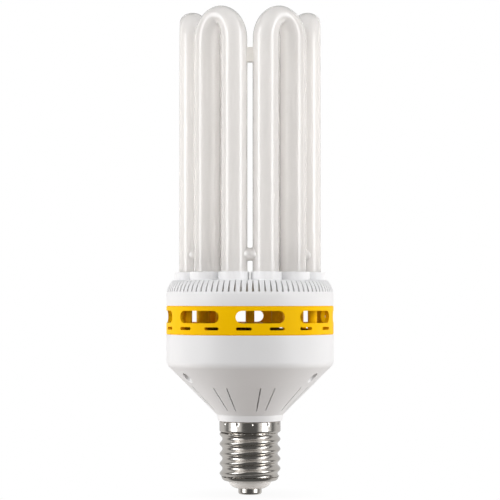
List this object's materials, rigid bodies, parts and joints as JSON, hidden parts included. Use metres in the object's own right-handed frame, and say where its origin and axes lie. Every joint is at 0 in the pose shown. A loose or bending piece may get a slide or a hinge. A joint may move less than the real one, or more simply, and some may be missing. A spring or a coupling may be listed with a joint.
{
  "type": "u shaped fluorescent bulb",
  "caption": "High-power compact fluorescent lamp: U-shaped white tubes in a circle on a vented white ballast housing with a yellow ring, above a large nickelled screw cap.",
  "frame": {"origin": "on the lamp's axis at the tip of the centre contact", "axes": "+Z along the lamp's axis from the screw cap towards the tubes, -Y towards the front"},
  "size_m": [0.1084, 0.1084, 0.3128],
  "materials": {
    "coated_glass": "satin, opaque from the white coating inside",
    "white_plastic": "satin white moulding",
    "yellow_plastic": "satin yellow moulding",
    "nickel": "bright nickel plating",
    "white_glass": "gloss white insulator",
    "soft_pad": "matt white silicone",
    "steel": "zinc plated",
    "board": "brown laminate",
    "ferrite": "matt dark grey",
    "winding": "enamelled copper",
    "black_plastic": "matt black moulding",
    "clear_glass": "clear glass with metal ends",
    "capacitor_can": "gloss sleeve on a can",
    "dipped_film": "gloss dipped coating",
    "lead_wire": "white insulation"
  },
  "bodies": {
    "root": {"centre_contact": "nickel", "cap_insulator": "white_glass", "screw_shell": "nickel", "ballast_housing": "white_plastic", "housing_screws": "steel", "vent_ring": "yellow_plastic", "tube_holder": "white_plastic", "circuit_board": "board", "choke_core": "ferrite", "choke_winding": "winding", "filter_choke": "ferrite", "drive_toroid": "ferrite", "bridge_rectifier": "black_plastic", "fuse": "clear_glass", "contact_lead": "lead_wire", "shell_lead": "lead_wire", "bulk_capacitor_1": "capacitor_can", "bulk_capacitor_2": "capacitor_can", "transistor_1": "black_plastic", "transistor_2": "black_plastic", "film_capacitor_1": "dipped_film", "film_capacitor_2": "dipped_film", "u_tube_1": "coated_glass", "u_tube_2": "coated_glass", "u_tube_3": "coated_glass", "u_tube_4": "coated_glass", "u_tube_5": "coated_glass", "u_tube_6": "coated_glass", "tube_bridge_1": "coated_glass", "tube_bridge_2": "coated_glass", "tube_bridge_3": "coated_glass", "tube_bridge_4": "coated_glass", "tube_bridge_5": "coated_glass", "tube_spacer_1": "soft_pad", "tube_spacer_2": "soft_pad", "tube_spacer_3": "soft_pad", "tube_spacer_4": "soft_pad", "tube_spacer_5": "soft_pad", "electrode_lead_1": "lead_wire", "electrode_lead_2": "lead_wire", "electrode_lead_3": "lead_wire", "electrode_lead_4": "lead_wire"}
  },
  "joints": []
}
